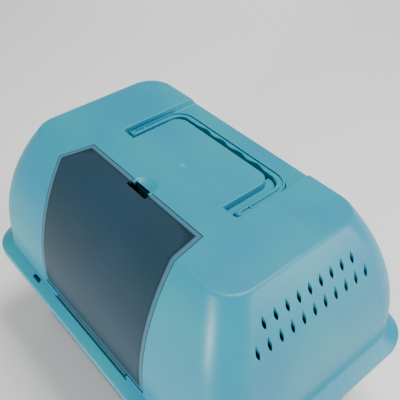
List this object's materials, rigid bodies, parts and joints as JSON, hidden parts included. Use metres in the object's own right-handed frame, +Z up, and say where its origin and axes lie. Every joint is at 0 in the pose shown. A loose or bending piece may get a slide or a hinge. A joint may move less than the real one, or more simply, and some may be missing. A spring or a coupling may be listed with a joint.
{
  "type": "hooded cat litter box",
  "caption": "Long cat litter tray with a domed lift-off hood, smoked front hatch, end entry with swing flap, vent slots and a fold-down carrying handle.",
  "frame": {"origin": "on the floor, under the middle of the box", "axes": "+Z up, +X along the length towards the vented end, -Y towards the front with the hatch"},
  "size_m": [0.59, 0.39, 0.42],
  "materials": {
    "hood_plastic": "satin moulded",
    "tray_plastic": "satin moulded",
    "smoked_plastic": "smoked, satin",
    "foot_rubber": "matte"
  },
  "bodies": {
    "base": {"tray": "tray_plastic", "foot_front_left": "foot_rubber", "foot_back_left": "foot_rubber", "foot_front_right": "foot_rubber", "foot_back_right": "foot_rubber"},
    "cover": {"hood": "hood_plastic", "entry_surround": "hood_plastic"},
    "hatch": {"front_hatch": "smoked_plastic"},
    "handle": {"carry_handle": "hood_plastic"},
    "flap": {"entry_flap": "smoked_plastic"}
  },
  "joints": [
    {"name": "hood_lift", "type": "slide", "parent": "base", "child": "cover", "axis": [0, 0, 1], "range_m": [0, 0.26]},
    {"name": "hatch_tilt", "type": "hinge", "parent": "cover", "child": "hatch", "pos_m": [0, -0.1775, 0.2015], "axis": [1, 0, 0], "range_deg": [0, 88]},
    {"name": "handle_fold", "type": "hinge", "parent": "cover", "child": "handle", "pos_m": [0, -0.002, 0.4099], "axis": [1, 0, 0], "range_deg": [0, 92]},
    {"name": "flap_swing", "type": "hinge", "parent": "cover", "child": "flap", "pos_m": [-0.236, 0, 0.374], "axis": [0, 1, 0], "range_deg": [-60, 60]}
  ]
}
